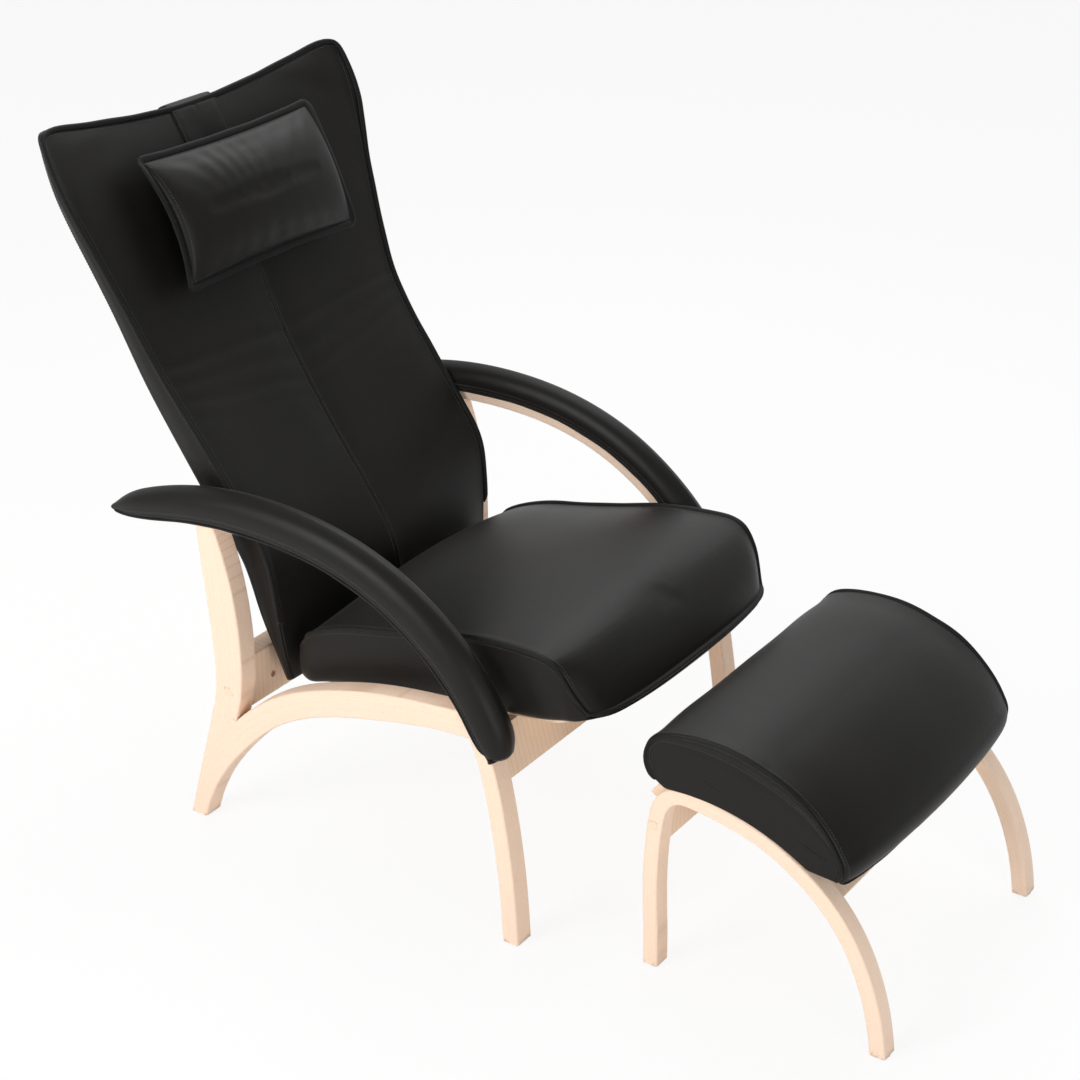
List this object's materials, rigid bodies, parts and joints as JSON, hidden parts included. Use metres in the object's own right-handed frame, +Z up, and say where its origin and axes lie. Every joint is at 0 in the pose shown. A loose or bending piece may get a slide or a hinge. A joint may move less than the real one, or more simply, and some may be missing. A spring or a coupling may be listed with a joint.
{
  "type": "reclining treatment chair with footstool",
  "caption": "Reclining reflexology chair with bent timber arms and legs, a winged leather back, a sliding neck cushion and a matching curved footstool.",
  "frame": {"origin": "on the floor under the middle of the chair and footstool together", "axes": "+X from the chair towards the footstool, +Y to the sitter's left, +Z up"},
  "size_m": [1.5594, 0.7384, 1.2023],
  "materials": {
    "timber": "clear matt lacquer on pale bent laminated beech",
    "board": "clear lacquer on moulded plywood",
    "leather": "smooth black leather with a fine grain and a soft sheen",
    "steel": "zinc-plated steel",
    "bracket": "black powder coat",
    "glide": "matt moulded plastic"
  },
  "bodies": {
    "frame": {"arm_and_front_leg_left": "timber", "arm_and_front_leg_right": "timber", "rear_leg_and_rail_left": "timber", "rear_leg_and_rail_right": "timber", "rear_upright_left": "timber", "rear_upright_right": "timber", "front_cross_rail": "timber", "rear_cross_rail": "timber", "seat_bearer_left": "timber", "seat_bearer_right": "timber", "frame_dowels": "timber", "bolt_plugs": "timber", "seat_shell": "board", "arm_pad_left": "leather", "arm_pad_right": "leather", "seat_cushion": "leather", "rail_bolts": "steel", "rail_barrel_nuts": "steel", "bracket_screws": "steel", "clevis_screws": "steel", "seat_bolts": "steel", "hinge_pin_left": "steel", "hinge_pin_right": "steel", "spring_front_pin": "steel", "hinge_bracket_left": "bracket", "hinge_bracket_right": "bracket", "spring_clevis": "bracket", "chair_glides": "glide"},
    "back": {"back_shell": "board", "back_cushion": "leather", "hinge_arm_left": "bracket", "hinge_arm_right": "bracket", "spring_lever": "bracket", "spring_rear_pin": "steel", "back_screws": "steel", "neck_strap": "leather"},
    "neck_cushion": {"neck_cushion": "leather"},
    "spring_cylinder": {"spring_cylinder": "bracket"},
    "spring_rod": {"spring_rod": "steel"},
    "footstool": {"stool_arch_left": "timber", "stool_arch_right": "timber", "stool_upper_rail": "timber", "stool_lower_rail": "timber", "stool_base": "board", "stool_cushion": "leather", "stool_bolts": "steel", "stool_barrel_nuts": "steel", "stool_plugs": "timber", "stool_dowels": "timber", "stool_glides": "glide"}
  },
  "joints": [
    {"name": "back_recline", "type": "hinge", "parent": "frame", "child": "back", "pos_m": [-0.41105, 0, 0.352], "axis": [0, -1, 0], "range_deg": [-8, 14]},
    {"name": "neck_slide", "type": "slide", "parent": "back", "child": "neck_cushion", "axis": [-0.4357, 0, 0.9001], "range_m": [-0.11, 0.045]},
    {"name": "spring_swing", "type": "hinge", "parent": "frame", "child": "spring_cylinder", "pos_m": [0.06295, 0, 0.3], "axis": [0, -1, 0], "range_deg": [-1.5, 0.9]},
    {"name": "spring_stroke", "type": "slide", "parent": "spring_cylinder", "child": "spring_rod", "axis": [-0.9971, 0, -0.0758], "range_m": [-0.0215, 0.013]},
    {"name": "footstool_push", "type": "slide", "parent": "frame", "child": "footstool", "axis": [1, 0, 0], "range_m": [-0.05, 0.3]}
  ],
  "couplings": [
    {"joint": "spring_swing", "follows": "back_recline", "ratio": -0.09311},
    {"joint": "spring_stroke", "follows": "back_recline", "m_per_rad": -0.08468}
  ]
}
